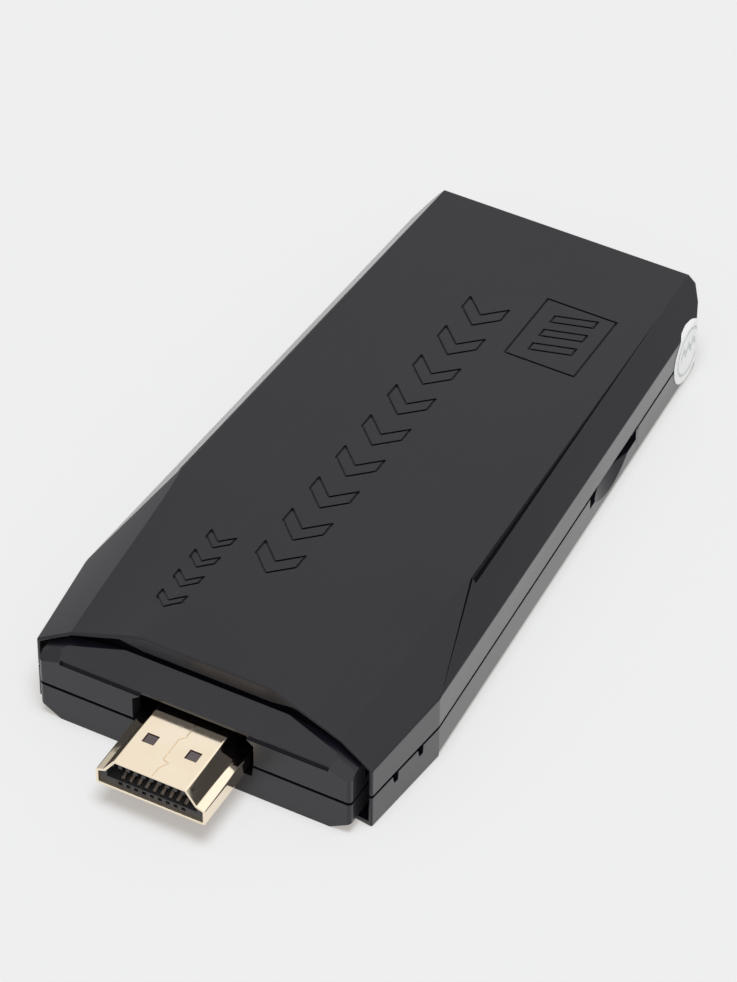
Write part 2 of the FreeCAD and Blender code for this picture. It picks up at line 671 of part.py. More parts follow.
def radio_shield():
    """Folded sheet-metal can, open below, with a row of vent holes."""
    outer = box(SHIELD_X, SHIELD_Y, (BOARD_TOP, BOARD_TOP + SHIELD_HEIGHT))
    upright = [e for e in outer.Edges if abs(e.tangentAt(0).z) > 0.9]
    outer = outer.makeFillet(0.5, upright)
    sheet = SHIELD_SHEET
    x = (SHIELD_X[0] + sheet, SHIELD_X[1] - sheet)
    y = (SHIELD_Y[0] + sheet, SHIELD_Y[1] - sheet)
    inner = box(x, y, (BOARD_TOP - 1, BOARD_TOP + SHIELD_HEIGHT - sheet))
    vents = [cylinder(0.4, 2, Vector(x[0] + 1.8 + 2.3 * i, y[0] + 1.8, BOARD_TOP + 1)) for i in range(4)]
    return outer.cut([inner] + vents)


def chip_antenna():
    return box(ANTENNA_X, ANTENNA_Y, (BOARD_TOP, BOARD_TOP + ANTENNA_HEIGHT))


def crystal():
    can = box((-9.5, -6.3), (23.0, 25.5), (BOARD_TOP, BOARD_TOP + 0.8))
    return can.makeFillet(0.3, [e for e in can.Edges if abs(e.tangentAt(0).z) > 0.9])


def power_inductor(x, y):
    core = box((x - 2, x + 2), (y - 2, y + 2), (BOARD_TOP, BOARD_TOP + 2.0))
    core = core.makeChamfer(0.6, [e for e in core.Edges if abs(e.tangentAt(0).z) > 0.9])
    return core.cut(cylinder(1.2, 1, Vector(x, y, BOARD_TOP + 1.8)))


def regulator():
    """Small outline package with three leads on one side and a wide tab on the other."""
    x, y = REGULATOR
    z = (BOARD_TOP, BOARD_TOP + 0.3)
    body = chip(x, y, BOARD_TOP + 0.1, 1.5, 3.5, 6.5)
    leads = [box((x - 3.2, x - 1.6), (y + d - 0.35, y + d + 0.35), z) for d in (-2.3, 0, 2.3)]
    tab = box((x + 1.6, x + 3.2), (y - 1.5, y + 1.5), z)
    return body.fuse(leads + [tab])


def capacitor_spots():
    around_chip = [(-12.6, 34 + 2.6 * i) for i in range(8)]
    behind = [(9.0 + 1.9 * i, 31.0) for i in range(4)]
    near_port = [(-9.5 + 2.2 * i, 72.0) for i in range(8)]
    return around_chip + behind + near_port


def capacitors():
    parts = []
    for x, y in capacitor_spots():
        parts.append(box((x - 0.6, x + 0.6), (y - 0.8, y + 0.8), (BOARD_TOP, BOARD_TOP + 0.8)))
    return Part.makeCompound(parts)


# ------------------------------------------------------------------ host port at the far end
def host_shell():
    half_x, half_z = HOST_WIDTH / 2, HOST_HEIGHT / 2
    y = (BODY_LENGTH - 0.5 - HOST_DEPTH, BODY_LENGTH - 0.5)
    z = (HOST_CENTRE_HEIGHT - half_z, HOST_CENTRE_HEIGHT + half_z)
    sheet = HOST_SHEET
    tube = box((-half_x, half_x), y, z)
    tube = tube.makeFillet(0.6, [e for e in tube.Edges if abs(e.tangentAt(0).y) > 0.9])
    inner_z = (z[0] + sheet, z[1] - sheet)
    tube = tube.cut(box((-half_x + sheet, half_x - sheet), (y[0] + sheet, y[1] + 1), inner_z))
    slots = []
    for x in (-3.2, 3.2):
        slots.append(box((x - 1.0, x + 1.0), (y[1] - 7.5, y[1] - 2.2), (z[1] - 1, z[1] + 1)))
    tabs = []
    for x in (-3.2, 3.2):
        tabs.append(box((x - 0.75, x + 0.75), (y[1] - 7.6, y[1] - 2.6), (z[1] - sheet, z[1])))
    return tube.cut(slots).fuse(tabs).removeSplitter()


def host_tongue():
    y0 = BODY_LENGTH - 0.5 - HOST_DEPTH + HOST_SHEET
    z0 = HOST_CENTRE_HEIGHT
    half_x = HOST_WIDTH / 2 - HOST_SHEET - 0.05
    half_z = HOST_HEIGHT / 2 - HOST_SHEET - 0.05
    block = box((-half_x, half_x), (y0, y0 + 3.0), (z0 - half_z, z0 + half_z))
    blade = box((-5.6, 5.6), (y0 + 2.9, y0 + 12.6), (z0 + 0.3, z0 + 2.1))
    grooves = [box((x - 0.55, x + 0.55), (y0 + 3.0, y0 + 13), (z0 + 0.2, z0 + 0.5)) for x in HOST_PINS]
    return block.fuse(blade).cut(grooves).removeSplitter()


def host_contacts():
    y0 = BODY_LENGTH - 0.5 - HOST_DEPTH + HOST_SHEET
    z0 = HOST_CENTRE_HEIGHT + 0.2
    pins = []
    for x in HOST_PINS:
        points = [(y0 + 3.0, z0 + 0.3), (y0 + 12.0, z0 + 0.3), (y0 + 12.0, z0 + 0.1), (y0 + 8.5, z0 - 0.15),
                  (y0 + 3.0, z0 + 0.1)]
        pins.append(prism_x(points, x - 0.5, x + 0.5))
    return Part.makeCompound(pins)


# ------------------------------------------------------------------ power inlet in the left wall
def inlet_profile(inset, x):
    """Section of the inlet: rectangle whose lower corners are drawn in."""
    half = INLET_WIDTH / 2 - inset
    high = BOARD_BOTTOM - inset
    low = BOARD_BOTTOM - INLET_HEIGHT + inset
    step = low + 1.0
    right = [(half, high), (half, step), (half - 1.0, low)]
    points = [Vector(x, INLET_CENTRE_Y + y, z) for y, z in mirror_points(right)]
    return closed_face(points)


def inlet_shell():
    tube = inlet_profile(0, INLET_MOUTH_X).extrude(Vector(INLET_DEPTH, 0, 0))
    hollow = inlet_profile(INLET_SHEET, INLET_MOUTH_X - 1).extrude(Vector(INLET_DEPTH + 0.6, 0, 0))
    return tube.cut(hollow)


def inlet_tongue():
    x0 = INLET_MOUTH_X
    back = inlet_profile(INLET_SHEET + 0.02, x0 + 3.4).extrude(Vector(1.15, 0, 0))
    z = (BOARD_BOTTOM - 1.15, BOARD_BOTTOM - 0.6)
    y = (INLET_CENTRE_Y - 1.9, INLET_CENTRE_Y + 1.9)
    return back.fuse(box((x0 + 0.7, x0 + 3.5), y, z)).removeSplitter()


def inlet_contacts():
    x0 = INLET_MOUTH_X
    z = (BOARD_BOTTOM - 1.27, BOARD_BOTTOM - 1.15)
    pins = []
    for i in range(5):
        y = INLET_CENTRE_Y + 0.65 * (i - 2)
        pins.append(box((x0 + 0.9, x0 + 3.4), (y - 0.16, y + 0.16), z))
    return Part.makeCompound(pins)


# ------------------------------------------------------------------ card socket, slider and card
def socket_y(grow=0.0):
    return (CARD_CENTRE_Y - SOCKET_HALF_WIDTH - grow, CARD_CENTRE_Y + SOCKET_HALF_WIDTH + grow)


def card_track():
    """Clear way that the card runs in, through the socket's base."""
    half = CARD_WIDTH / 2 + 0.15
    y = (CARD_CENTRE_Y - half, CARD_CENTRE_Y + half)
    return box((SOCKET_X[0] + SOCKET_STOP, SOCKET_X[1] + 1), y, (SOCKET_BOTTOM, TRACK_TOP))


def slider_track():
    y = (CARD_CENTRE_Y + CARD_WIDTH / 2 + 0.1, socket_y()[1] - 0.35)
    return box((SOCKET_X[0] + SOCKET_STOP, SOCKET_X[1] - SOCKET_STOP), y, (SOCKET_BOTTOM, TRACK_TOP))


def card_socket_base():
    z = (SOCKET_BOTTOM + 0.2, BOARD_BOTTOM)
    y = socket_y(-0.22)
    base = box((SOCKET_X[0] + 0.02, SOCKET_X[1] - 0.02), y, z)
    back_x = (SOCKET_X[0] + SOCKET_STOP, SOCKET_X[0] + 3.0)
    back_room = box(back_x, (y[0] + 0.5, y[1] - 0.13), (0, TRACK_TOP))
    slots = []
    for x in contact_rows():
        slots.append(box((9.0, 15.2), (x - 0.3, x + 0.3), (CARD_BASE + 0.5, BOARD_BOTTOM - 0.25)))
    return base.cut([card_track(), slider_track(), back_room] + slots)


def contact_rows():
    return [CARD_CENTRE_Y - 3.85 + 1.1 * i for i in range(8)]


def card_socket_cover():
    """Folded steel cover: flat below, two side flanges, two cut-outs, open towards the board."""
    outer = box(SOCKET_X, socket_y(), (SOCKET_BOTTOM, BOARD_BOTTOM))
    inner = box((SOCKET_X[0] - 1, SOCKET_X[1] + 1), socket_y(-0.2), (SOCKET_BOTTOM + 0.2, BOARD_BOTTOM + 1))
    y = CARD_CENTRE_Y
    window = box((6.5, 10.5), (y - 3.0, y + 3.0), (SOCKET_BOTTOM - 1, SOCKET_BOTTOM + 1))
    thumb = cylinder(4.0, 2, Vector(SOCKET_X[1] + 1.2, y, SOCKET_BOTTOM - 1))
    return outer.cut([inner, window, thumb])


def card_contacts():
    pins = []
    low = CARD_BASE + CARD_THICKNESS
    for y in contact_rows():
        points = [(9.2, BOARD_BOTTOM - 0.27), (15.0, BOARD_BOTTOM - 0.27), (15.0, BOARD_BOTTOM - 0.42),
                  (10.8, low + 0.02), (9.2, low + 0.2)]
        face = closed_face([Vector(x, y - 0.2, z) for x, z in points])
        pins.append(face.extrude(Vector(0, 0.4, 0)))
    return Part.makeCompound(pins)


def slider_x():
    """Inner end of the card, where the slider's heel touches it, with the card latched."""
    return CARD_END_X - CARD_LENGTH


def card_slider():
    """Carrier: a heel behind the card, an arm beside it and a seat at the arm's end for the spring."""
    z = (CARD_BASE - 0.1, CARD_BASE + 0.65)
    x0 = slider_x()
    y_side = CARD_CENTRE_Y + CARD_WIDTH / 2 + 0.2
    heel = box((x0 - 0.6, x0), (CARD_CENTRE_Y - 5.0, y_side + 0.45), z)
    arm = box((x0 - 0.6, x0 + SLIDER_ARM), (y_side, y_side + 0.45), z)
    seat = box((x0 + SLIDER_ARM - 0.5, x0 + SLIDER_ARM), (y_side, y_side + 1.2), z)
    return union([heel, arm, seat])


def card_spring():
    """Compression spring between the back stop of the socket and the slider's seat."""
    start = SOCKET_X[0] + SOCKET_STOP + SPRING_WIRE
    end = slider_x() + SLIDER_ARM - 0.5 - SPRING_WIRE
    helix = Part.makeHelix((end - start) / SPRING_TURNS, end - start, SPRING_COIL)
    ring = Part.Wire(Part.makeCircle(SPRING_WIRE, Vector(SPRING_COIL, 0, 0), Vector(0, 1, 0)))
    spring = Part.Wire(helix).makePipeShell([ring], True, True)
    spring.rotate(Vector(0, 0, 0), Vector(0, 1, 0), 90)
    y = CARD_CENTRE_Y + CARD_WIDTH / 2 + 0.2 + 0.87
    spring.translate(Vector(start, y, CARD_BASE + 0.28))
    return spring


def memory_card():
    """Memory card: stepped edge, and a raised grip lip at its outer end."""
    x0, x1 = slider_x(), CARD_END_X
    y0, y1 = CARD_CENTRE_Y - CARD_WIDTH / 2, CARD_CENTRE_Y + CARD_WIDTH / 2
    outline = [(x0, y0 + 0.7), (x0, y1 - 1.3), (x0 + 6.4, y1 - 1.3), (x0 + 7.2, y1 - 0.5), (x0 + 8.4, y1),
               (x1, y1), (x1, y0), (x0 + 0.7, y0)]
    card = prism_z(outline, CARD_BASE, CARD_BASE + CARD_THICKNESS)
    lip = box((x1 - 1.0, x1), (y0, y1), (CARD_BASE - 0.12, CARD_BASE + 0.1))
    return card.fuse(lip).removeSplitter()


# ------------------------------------------------------------------ seal
def seal_label():
    """Thin round paper seal on the right wall, over the split and round the first bend behind it."""
    wall = Vector(FAR_SIDE[0] - KINK[0], FAR_SIDE[1] - KINK[1], 0).normalize()
    outward = Vector(wall.y, -wall.x, 0)
    centre = Vector(side_wall_x(SEAL_CENTRE_Y), SEAL_CENTRE_Y, SEAL_CENTRE_Z)
    disc = cylinder(SEAL_RADIUS, 3, centre - outward * 1.5, outward)
    z = (0.9, WALL_TOP_FAR - 0.2)
    paper = plan_prism(-0.005 - SEAL_THICKNESS, *z).cut(plan_prism(-0.005, 0, 18))
    return disc.common(paper)


# ------------------------------------------------------------------ all nodes
def build_nodes():
    return {
        "top_shell": top_shell(),
        "bottom_shell": bottom_shell(),
        "hdmi_shell": hdmi_shell(),
        "hdmi_insulator": hdmi_insulator(),
        "hdmi_contacts_upper": hdmi_contacts(10, True),
        "hdmi_contacts_lower": hdmi_contacts(9, False),
        "main_board": main_board(),
        "board_screws": board_screws(),
        "processor": chip(*PROCESSOR, BOARD_TOP, PROCESSOR_HEIGHT, PROCESSOR_SIZE, PROCESSOR_SIZE),
        "thermal_pad": thermal_pad(),
        "heat_sink": heat_sink(),
        "memory_chip_1": memory_chip(MEMORY_Y[0]),
        "memory_chip_2": memory_chip(MEMORY_Y[1]),
        "flash_chip": chip(*FLASH, BOARD_TOP, FLASH_SIZE[2], FLASH_SIZE[0], FLASH_SIZE[1]),
        "radio_shield": radio_shield(),
        "chip_antenna": chip_antenna(),
        "crystal": crystal(),
        "power_inductor_1": power_inductor(INDUCTOR_X[0], INDUCTOR_Y),
        "power_inductor_2": power_inductor(INDUCTOR_X[1], INDUCTOR_Y),
        "regulator": regulator(),
        "capacitors": capacitors(),
        "host_port_shell": host_shell(),
        "host_port_tongue": host_tongue(),
        "host_port_contacts": host_contacts(),
        "power_inlet_shell": inlet_shell(),
        "power_inlet_tongue": inlet_tongue(),
        "power_inlet_contacts": inlet_contacts(),
        "card_socket_base": card_socket_base(),
        "card_socket_cover": card_socket_cover(),
        "card_contacts": card_contacts(),
        "card_slider": card_slider(),
        "card_spring": card_spring(),
        "memory_card": memory_card(),
        "seal_label": seal_label(),
    }


def finish(shape):
    """Move a shape from the working frame to the part's origin."""
    moved = shape.copy()
    moved.translate(Vector(0, -(BODY_LENGTH - PLUG_REACH) / 2, 0))
    return moved


def main():
    os.makedirs("parts", exist_ok=True)
    for name, shape in build_nodes().items():
        part = finish(shape)
        print(name, "solids", len(part.Solids), "valid", part.isValid(), "volume", round(part.Volume, 2))
        part.exportStep(os.path.join("parts", name + ".step"))


main()
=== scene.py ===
import json
import math

import bpy
from mathutils import Matrix, Vector


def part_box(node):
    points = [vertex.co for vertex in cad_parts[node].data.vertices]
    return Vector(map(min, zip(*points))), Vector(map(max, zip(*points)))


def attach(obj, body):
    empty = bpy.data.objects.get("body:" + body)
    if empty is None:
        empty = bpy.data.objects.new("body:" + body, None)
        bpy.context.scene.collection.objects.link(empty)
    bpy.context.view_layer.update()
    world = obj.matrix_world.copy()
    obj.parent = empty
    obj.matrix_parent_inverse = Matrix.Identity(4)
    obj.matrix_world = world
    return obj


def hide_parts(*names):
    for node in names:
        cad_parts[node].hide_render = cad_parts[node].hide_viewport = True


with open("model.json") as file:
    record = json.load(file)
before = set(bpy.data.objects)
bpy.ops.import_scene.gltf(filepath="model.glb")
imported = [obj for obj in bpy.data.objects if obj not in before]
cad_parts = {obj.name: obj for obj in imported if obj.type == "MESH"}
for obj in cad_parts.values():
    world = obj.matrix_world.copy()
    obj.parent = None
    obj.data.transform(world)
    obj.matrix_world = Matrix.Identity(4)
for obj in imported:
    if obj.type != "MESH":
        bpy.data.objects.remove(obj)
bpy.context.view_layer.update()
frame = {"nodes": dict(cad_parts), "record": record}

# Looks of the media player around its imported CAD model: materials, seal, card pads, plug dimples,
# floor, light and camera.  Lengths are in metres and angles in degrees.

MM = 0.001

# ------------------------------------------------------------------ camera and floor
CAMERA_AIM = Vector((-1.24, 1.76, 7.0)) * MM
CAMERA_DISTANCE = 560.15 * MM
CAMERA_AZIMUTH = 28.09
CAMERA_ELEVATION = 43.04
CAMERA_ROLL = 0.465
CAMERA_LENS = 175.97
CAMERA_CLIP_START = 10 * MM
FLOOR_SIZE = 30.0
FLOOR_TONE = (0.11, 0.11, 0.11)
FLOOR_ROUGHNESS = 0.9
FLOOR_GLOW = 0.415
# The glow is warmer than white and the key light cooler, so the floor turns warm wherever the key is
# shadowed: a painted reflection of light off the gold plug.
FLOOR_GLOW_TONE = (1.0, 0.94, 0.885, 1.0)

# ------------------------------------------------------------------ light
# The sky's strength rises from the first value at the horizon to the second where a direction's
# Z is SKY_FULL.  Each row of SKY_SIDES then changes one side of it: axis, where the change starts,
# where it ends, and the factor from there on.  -X is the left, +X the right, -Y the plug side.
SKY_TONE = (1.0, 0.995, 1.0, 1.0)
SKY_STRENGTH = (0.30, 1.10)
SKY_FULL = 0.95
SKY_SIDES = [("X", -0.4, -0.95, 0.88), ("X", -0.35, 0.5, 1.25), ("Y", -0.05, -0.5, 1.45)]
KEY_AZIMUTH = 45.0
KEY_ELEVATION = 80.0
# Cooler than the floor's glow, so the floor's shadows come out warm as a painted reflection of the gold
# plug.
KEY_TONE = (0.863, 0.934, 1.0)
KEY_STRENGTH = 11.05
KEY_SPREAD = 30.0

# ------------------------------------------------------------------ seal folded over the corner
# SEAL_WAVES makes its rim uneven: share of the radius, and number of waves round the rim.
SEAL_RADIUS = 4.2 * MM
SEAL_THICKNESS = 0.07 * MM
SEAL_LIFT = 0.012 * MM
SEAL_HEIGHT = 4.7 * MM
SEAL_RINGS = 26
SEAL_SPOKES = 96
SEAL_WAVES = [(0.006, 7), (0.004, 17)]
WALL_BEARING = Vector((-0.0453, 1.0, 0.0)).normalized()
CORNER_START = Vector((19.58, 46.9, 0.0)) * MM
CORNER_TURN = 20.5
CORNER_RADIUS = 0.5 * MM
WALL_TOP = 8.09 * MM
FACET_TURN = 41.4
FACET_RADIUS = 0.32 * MM

# ------------------------------------------------------------------ card pads and plug dimples
PAD_COUNT = 8
PAD_PITCH = 1.1 * MM
PAD_SIZE = Vector((2.9, 0.8, 0.02)) * MM
PAD_INSET = 1.1 * MM
PAD_RISE = 0.1 * PAD_SIZE.z
PAD_CHAMFER = 0.2 * PAD_SIZE.z
DIMPLE_OFFSET = 2.7 * MM
DIMPLE_BACK = 4.9 * MM
DIMPLE_SIZE = Vector((1.34, 1.34, 0.12)) * MM
DIMPLE_DEPTH = 0.2 * MM
DIMPLE_CHAMFER = 0.04 * MM
DIMPLE_TONE = (0.085, 0.066, 0.068)
DIMPLE_ROUGHNESS = 0.4

# ------------------------------------------------------------------ node settings
# MIDDLE is the band that most of a noise's values lie in.  EDGE_OPEN and EDGE_WORN are cosines
# between a face's own normal and its rounded one.  The last line holds the Mix node's colour sockets.
NOISE_ROUGHNESS = 0.55
MIDDLE = (0.3, 0.7)
BEVEL_SAMPLES = 6
EDGE_OPEN = 0.98
EDGE_WORN = 0.75
MIX_A, MIX_B, MIX_RESULT = 6, 7, 2


# ------------------------------------------------------------------ node graphs
def fade(tree, value, low, high, out_low=0.0, out_high=1.0):
    """Straight change from one output to another while a value goes from low to high."""
    node = tree.nodes.new("ShaderNodeMapRange")
    limits = zip(("From Min", "From Max", "To Min", "To Max"), (low, high, out_low, out_high))
    for name, number in limits:
        node.inputs[name].default_value = number
    tree.links.new(value, node.inputs["Value"])
    return node.outputs["Result"]


class Finish:
    """A material round one Principled shader, with short calls for the nodes used here."""

    def __init__(self, name, tone, roughness=0.5, metallic=0.0):
        self.material = bpy.data.materials.new(name)
        self.material.use_nodes = True
        self.tree = self.material.node_tree
        self.shader = self.tree.nodes["Principled BSDF"]
        self.set("Base Color", (*tone, 1.0))
        self.set("Roughness", roughness)
        self.set("Metallic", metallic)
        self.place = self.tree.nodes.new("ShaderNodeTexCoord").outputs["Object"]

    def set(self, name, value):
        self.shader.inputs[name].default_value = value

    def give(self, name, source):
        self.link(source, self.shader.inputs[name])

    def link(self, source, target):
        self.tree.links.new(source, target)

    def math(self, operation, a, b=0.0):
        node = self.tree.nodes.new("ShaderNodeMath")
        node.operation = operation
        for socket, value in zip(node.inputs, (a, b)):
            if isinstance(value, (int, float)):
                socket.default_value = value
            else:
                self.link(value, socket)
        return node.outputs[0]

    def stretched(self, x, y, z):
        """Object coordinates scaled unevenly, for brushed or moulded directions."""
        node = self.tree.nodes.new("ShaderNodeVectorMath")
        node.operation = "MULTIPLY"
        self.link(self.place, node.inputs[0])
        node.inputs[1].default_value = (x, y, z)
        return node.outputs[0]

    def noise(self, size, detail=3.0, place=None):
        """Noise with features of about this size in metres, from 0 to 1."""
        node = self.tree.nodes.new("ShaderNodeTexNoise")
        self.link(place or self.place, node.inputs["Vector"])
        node.inputs["Scale"].default_value = 1.0 / size
        node.inputs["Detail"].default_value = detail
        node.inputs["Roughness"].default_value = NOISE_ROUGHNESS
        return node.outputs["Fac"]

    def ramp(self, value, low, high, out_low=0.0, out_high=1.0):
        return fade(self.tree, value, low, high, out_low, out_high)

    def mix(self, share, a, b):
        """Colour a where share is 0, colour b where it is 1; colours are tuples or sockets."""
        node = self.tree.nodes.new("ShaderNodeMix")
        node.data_type = "RGBA"
        self.link(share, node.inputs["Factor"])
        for socket, colour in zip((node.inputs[MIX_A], node.inputs[MIX_B]), (a, b)):
            if isinstance(colour, tuple):
                socket.default_value = (*colour, 1.0)
            else:
                self.link(colour, socket)
        return node.outputs[MIX_RESULT]

    def bump(self, height, depth, strength, normal=None):
        node = self.tree.nodes.new("ShaderNodeBump")
        node.inputs["Distance"].default_value = depth
        node.inputs["Strength"].default_value = strength
        self.link(height, node.inputs["Height"])
        if normal:
            self.link(normal, node.inputs["Normal"])
        return node.outputs["Normal"]

    def rounded(self, radius):
        """Normal that runs smoothly over sharp edges, as a moulded edge does."""
        node = self.tree.nodes.new("ShaderNodeBevel")
        node.samples = BEVEL_SAMPLES
        node.inputs["Radius"].default_value = radius
        return node.outputs["Normal"]

    def edges(self, radius):
        """1 on worn edges, 0 on open faces."""
        node = self.tree.nodes.new("ShaderNodeVectorMath")
        node.operation = "DOT_PRODUCT"
        self.link(self.rounded(radius), node.inputs[0])
        own = self.tree.nodes.new("ShaderNodeNewGeometry").outputs["True Normal"]
        self.link(own, node.inputs[1])
        return self.ramp(node.outputs["Value"], EDGE_OPEN, EDGE_WORN)

    def specks(self, spacing, size, share):
        """Scattered dots: 1 inside a dot.  share is how many cells hold one."""
        node = self.tree.nodes.new("ShaderNodeTexVoronoi")
        self.link(self.place, node.inputs["Vector"])
        node.inputs["Scale"].default_value = 1.0 / spacing
        dot = self.ramp(node.outputs["Distance"], size / spacing, 0.5 * size / spacing)
        split = self.tree.nodes.new("ShaderNodeSeparateColor")
        self.link(node.outputs["Color"], split.inputs[0])
        return self.math("MULTIPLY", dot, self.math("LESS_THAN", split.outputs[0], share))


# ------------------------------------------------------------------ materials
def moulded_case():
    """Satin black ABS: fine spark texture, faint handling marks, dust specks, polished edges."""
    tone = (0.0035, 0.0032, 0.0070)
    cloud_tone = (0.0050, 0.0047, 0.0090)
    worn_tone = (0.05, 0.05, 0.054)
    dust_tone = (0.26, 0.26, 0.27)
    layer_ior = 1.3
    f = Finish("case_black", tone)
    f.set("IOR", layer_ior)
    f.set("Coat Weight", 1.0)
    f.set("Coat IOR", layer_ior)
    f.set("Sheen Weight", 0.07)
    f.set("Sheen Roughness", 0.35)
    clouds = f.noise(22 * MM, 2.0)
    body = f.mix(f.ramp(clouds, 0.35, 0.7), tone, cloud_tone)
    worn = f.mix(f.math("MULTIPLY", f.edges(0.09 * MM), 0.5), body, worn_tone)
    dust = f.specks(5.2 * MM, 0.14 * MM, 0.34)
    f.give("Base Color", f.mix(f.math("MULTIPLY", dust, 0.3), worn, dust_tone))
    smears = f.noise(9 * MM, 5.0, f.stretched(1.0, 0.35, 1.0))
    f.give("Roughness", f.ramp(smears, 0.3, 0.75, 0.29, 0.36))
    f.give("Coat Roughness", f.ramp(smears, 0.3, 0.75, 0.26, 0.33))
    spark = f.noise(0.11 * MM, 2.0)
    grain = f.bump(spark, 0.004 * MM, 0.5, f.rounded(0.07 * MM))
    f.give("Normal", grain)
    f.give("Coat Normal", grain)
    return f.material


def plated_gold():
    """Bright pale gold plating on folded sheet, with faint rolling lines and wiped marks."""
    tone = (0.99, 0.87, 0.69)
    cloud_tone = (0.97, 0.83, 0.63)
    f = Finish("plug_gold", tone, metallic=1.0)
    clouds = f.noise(5 * MM, 3.0)
    f.give("Base Color", f.mix(f.ramp(clouds, *MIDDLE), tone, cloud_tone))
    wiped = f.noise(0.5 * MM, 4.0, f.stretched(1.0, 0.12, 1.0))
    f.give("Roughness", f.ramp(wiped, 0.3, 0.75, 0.05, 0.09))
    f.give("Normal", f.bump(wiped, 0.0006 * MM, 0.4, f.rounded(0.06 * MM)))
    return f.material


def contact_metal():
    """Copper alloy contacts whose thin gold flash has dulled to a warm grey."""
    tone = (0.62, 0.56, 0.50)
    dull_tone = (0.50, 0.44, 0.40)
    f = Finish("contact_gold", tone, metallic=1.0)
    f.give("Base Color", f.mix(f.ramp(f.noise(0.6 * MM), *MIDDLE), tone, dull_tone))
    f.give("Roughness", f.ramp(f.noise(0.2 * MM), *MIDDLE, 0.24, 0.40))
    return f.material


def moulded_resin(name, tone, roughness):
    """Plain moulded resin with flow clouds and a fine grain."""
    f = Finish(name, tone)
    light = tuple(1.35 * c for c in tone)
    f.give("Base Color", f.mix(f.ramp(f.noise(2.5 * MM, 4.0), 0.35, 0.7), tone, light))
    f.give("Roughness", f.ramp(f.noise(1.2 * MM), *MIDDLE, roughness - 0.05, roughness + 0.07))
    f.give("Normal", f.bump(f.noise(0.15 * MM, 2.0), 0.004 * MM, 0.4))
    return f.material


def solder_mask():
    """Green solder mask over copper tracks, with the glass weave just showing."""
    tone = (0.012, 0.085, 0.040)
    weave_tone = (0.016, 0.105, 0.050)
    track_tone = (0.035, 0.20, 0.09)
    f = Finish("board_green", tone, 0.28)
    f.set("Coat Weight", 0.6)
    brick = f.tree.nodes.new("ShaderNodeTexBrick")
    f.link(f.place, brick.inputs["Vector"])
    brick.inputs["Scale"].default_value = 420.0
    brick.inputs["Mortar Size"].default_value = 0.045
    brick.inputs["Row Height"].default_value = 0.42
    routed = f.ramp(f.noise(6 * MM, 1.0), 0.45, 0.5)
    tracks = f.math("MULTIPLY", brick.outputs["Fac"], routed)
    weave = f.noise(0.35 * MM, 1.0, f.stretched(1.0, 0.3, 1.0))
    green = f.mix(weave, tone, weave_tone)
    f.give("Base Color", f.mix(tracks, green, track_tone))
    f.give("Normal", f.bump(tracks, 0.03 * MM, 0.7))
    return f.material


def worked_metal(name, tone, roughness):
    """Sheet, turned or extruded metal: tool lines one way, cloudy dulling."""
    f = Finish(name, tone, metallic=1.0)
    dull = tuple(0.78 * c for c in tone)
    f.give("Base Color", f.mix(f.ramp(f.noise(3.5 * MM, 4.0), 0.35, 0.75), tone, dull))
    streak = f.noise(0.3 * MM, 3.0, f.stretched(1.0, 0.06, 1.0))
    f.give("Roughness", f.ramp(streak, *MIDDLE, roughness - 0.07, roughness + 0.1))
    f.give("Normal", f.bump(streak, 0.004 * MM, 0.5, f.rounded(0.05 * MM)))
    return f.material


def fired_ceramic(name, tone):
    """Matt ceramic with pale clouds and a fine rough grain."""
    f = Finish(name, tone, 0.35)
    light = tuple(min(1.0, 1.2 * c) for c in tone)
    f.give("Base Color", f.mix(f.ramp(f.noise(0.5 * MM, 4.0), 0.35, 0.65), tone, light))
    f.give("Normal", f.bump(f.noise(0.08 * MM), 0.004 * MM, 0.6))
    return f.material


def silicone_pad():
    """Soft grey pad filled with paler grains."""
    tone = (0.22, 0.27, 0.34)
    grain_tone = (0.34, 0.39, 0.46)
    f = Finish("pad_grey", tone, 0.75)
    f.give("Base Color", f.mix(f.specks(0.35 * MM, 0.09 * MM, 0.7), tone, grain_tone))
    f.give("Normal", f.bump(f.noise(0.3 * MM, 4.0), 0.03 * MM, 0.7))
    return f.material


def seal_paper():
    """White fibre paper with a generic grey print: a ring with a zigzag inside it.

    The print's sizes are shares of the seal's radius."""
    ring_radius = 0.74
    ring_half_width = 0.05
    tooth_width = 0.17
    tooth_slope = 1.6
    line_half_width = 0.13
    zigzag_reach = 0.52
    ink_tone = (0.42, 0.47, 0.45)
    dark_fibre = (0.80, 0.81, 0.80)
    light_fibre = (0.88, 0.89, 0.88)
    f = Finish("seal_paper", (0.86, 0.87, 0.86), 0.6)
    uv = f.tree.nodes.new("ShaderNodeUVMap")
    uv.uv_map = "print"
    length = f.tree.nodes.new("ShaderNodeVectorMath")
    length.operation = "LENGTH"
    f.link(uv.outputs[0], length.inputs[0])
    radius = length.outputs["Value"]
    split = f.tree.nodes.new("ShaderNodeSeparateXYZ")
    f.link(uv.outputs[0], split.inputs[0])
    across, up = split.outputs[0], split.outputs[1]
    from_ring = f.math("ABSOLUTE", f.math("SUBTRACT", radius, ring_radius))
    ring = f.math("LESS_THAN", from_ring, ring_half_width)
    wave = f.math("PINGPONG", f.math("ADD", across, tooth_width), tooth_width)
    line = f.math("ABSOLUTE", f.math("SUBTRACT", up, f.math("MULTIPLY", wave, tooth_slope)))
    inside = f.math("LESS_THAN", radius, zigzag_reach)
    zigzag = f.math("MULTIPLY", f.math("LESS_THAN", line, line_half_width), inside)
    ink = f.math("MAXIMUM", ring, zigzag)
    faded = f.math("MULTIPLY", ink, f.ramp(f.noise(0.4 * MM, 3.0), 0.3, 0.6, 0.3, 0.75))
    fibre = f.noise(0.15 * MM, 5.0, f.stretched(1.0, 0.4, 1.0))
    paper = f.mix(f.ramp(fibre, *MIDDLE), dark_fibre, light_fibre)
    f.give("Base Color", f.mix(faded, paper, ink_tone))
    f.give("Normal", f.bump(fibre, 0.012 * MM, 0.6))
    return f.material


